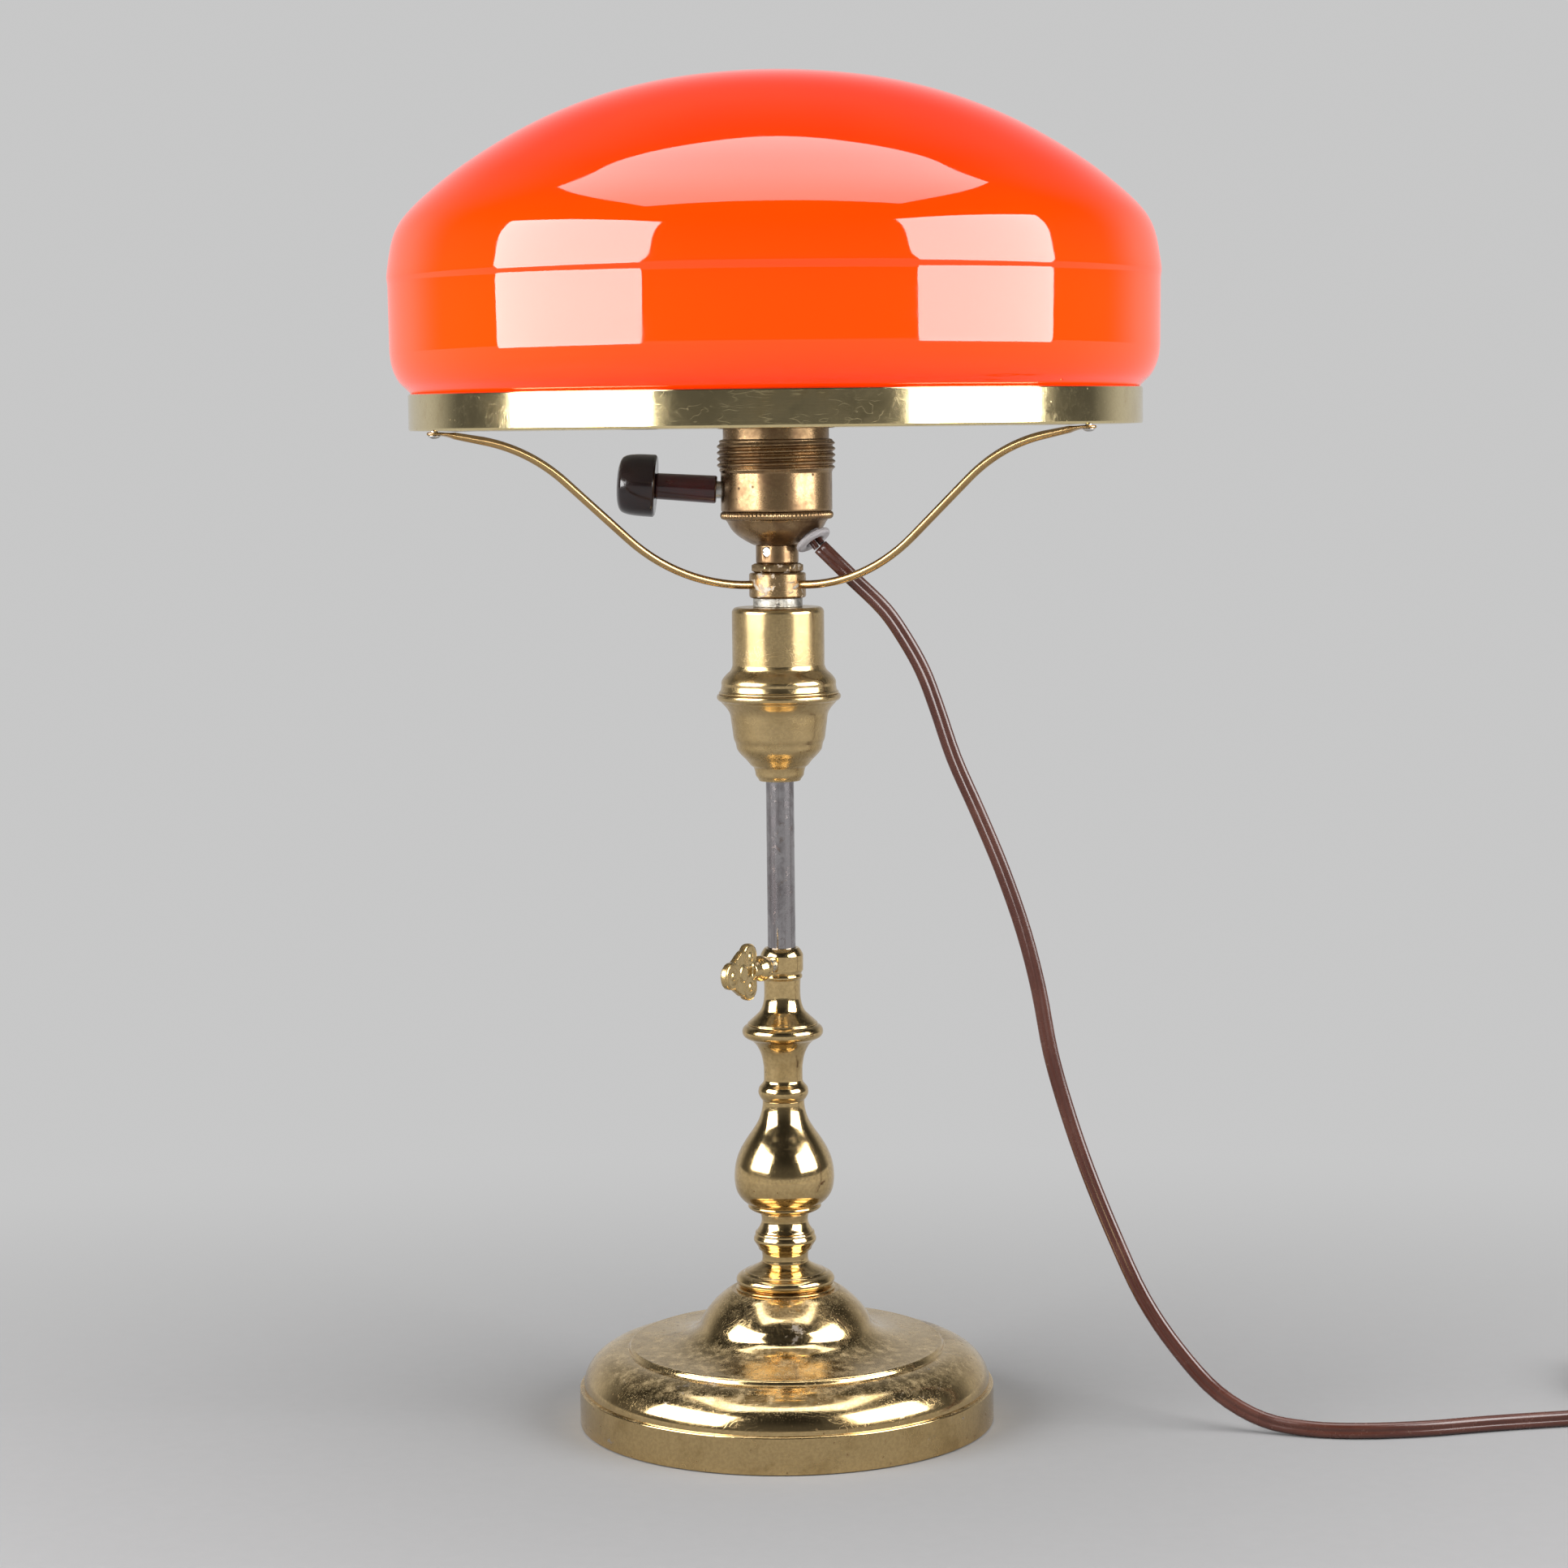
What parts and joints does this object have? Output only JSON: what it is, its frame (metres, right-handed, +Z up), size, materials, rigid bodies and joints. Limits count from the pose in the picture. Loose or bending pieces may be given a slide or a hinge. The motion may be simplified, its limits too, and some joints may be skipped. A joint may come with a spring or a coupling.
{
  "type": "desk lamp",
  "caption": "Height-adjustable brass desk lamp: domed foot, turned column, clamped steel pole, lampholder with turn switch, three-armed ring and mushroom glass shade.",
  "frame": {"origin": "centre of the foot's underside", "axes": "+Z up along the column, -Y towards the front of the lamp, -X towards the switch knob, cord leaving towards +X"},
  "size_m": [0.507, 0.2582, 0.4581],
  "materials": {
    "foot_brass": "polished, worn",
    "column_brass": "polished",
    "ring_brass": "fine brushed",
    "cast_brass": "cast, polished on the high spots",
    "wire_brass": "drawn",
    "aged_brass": "aged, brown",
    "plain_brass": "turned",
    "iron": "as cast",
    "felt": "felt",
    "fastener_steel": "plain",
    "pole_steel": "polished, spotted",
    "zinc": "dull plated",
    "porcelain": "glazed",
    "stem_bakelite": "moulded, glossy",
    "knob_bakelite": "moulded, glossy",
    "bulb_metal": "rolled",
    "bulb_opal": "opal",
    "orange_glass": "glossy cased glass, white inside",
    "gland_plastic": "moulded",
    "cord_pvc": "smooth",
    "plug_pvc": "moulded",
    "pin_metal": "nickel plated",
    "tie_rubber": "matt"
  },
  "bodies": {
    "base": {"foot_shell": "foot_brass", "foot_weight": "iron", "foot_felt": "felt", "foot_washer": "fastener_steel", "foot_nut": "fastener_steel", "guide_tube": "plain_brass", "column_collar": "column_brass", "column_knop": "column_brass", "column_vase": "column_brass", "column_baluster": "column_brass", "clamp_head": "column_brass", "clamp_pad": "cast_brass", "cord": "cord_pvc", "cord_coil": "cord_pvc", "coil_tie": "tie_rubber", "cord_tail": "cord_pvc", "plug_body": "plug_pvc", "plug_pins": "pin_metal"},
    "head": {"pole": "pole_steel", "lower_cup": "column_brass", "upper_cover": "column_brass", "pole_coupler": "aged_brass", "threaded_nipple": "fastener_steel", "spacer_nut": "zinc", "carrier_hub": "aged_brass", "carrier_arm_left": "wire_brass", "carrier_arm_right": "wire_brass", "carrier_arm_back": "wire_brass", "arm_rivets": "fastener_steel", "gallery_ring": "ring_brass", "lock_nut": "aged_brass", "socket_neck": "aged_brass", "grub_screw": "fastener_steel", "socket_cap": "aged_brass", "socket_rim": "aged_brass", "socket_shell": "aged_brass", "porcelain_insert": "porcelain", "insulating_sleeve": "porcelain", "contact_shell": "aged_brass", "centre_contact": "aged_brass", "terminal_screws": "plain_brass", "inner_leads": "cord_pvc", "bulb_cap": "bulb_metal", "bulb_glass": "bulb_opal", "cord_gland": "gland_plastic", "cord_cores": "cord_pvc"},
    "key": {"clamp_screw": "fastener_steel", "thumb_key": "cast_brass"},
    "knob": {"switch_spindle": "fastener_steel", "knob_stem": "stem_bakelite", "knob_cap": "knob_bakelite"},
    "shade": {"glass_shade": "orange_glass"}
  },
  "joints": [
    {"name": "height_slide", "type": "slide", "parent": "base", "child": "head", "axis": [0, 0, 1], "range_m": [-0.055, 0.055], "deforming": ["cord"]},
    {"name": "key_turn", "type": "hinge", "parent": "base", "child": "key", "pos_m": [0, 0, 0.1583], "axis": [-0.5, -0.866, 0], "range_deg": [0, 270]},
    {"name": "switch_turn", "type": "hinge", "parent": "head", "child": "knob", "pos_m": [0, 0, 0.3179], "axis": [-0.997, 0.0348, 0.0698], "continuous": true},
    {"name": "shade_lift", "type": "slide", "parent": "head", "child": "shade", "axis": [0, 0, 1], "range_m": [0, 0.12]}
  ]
}
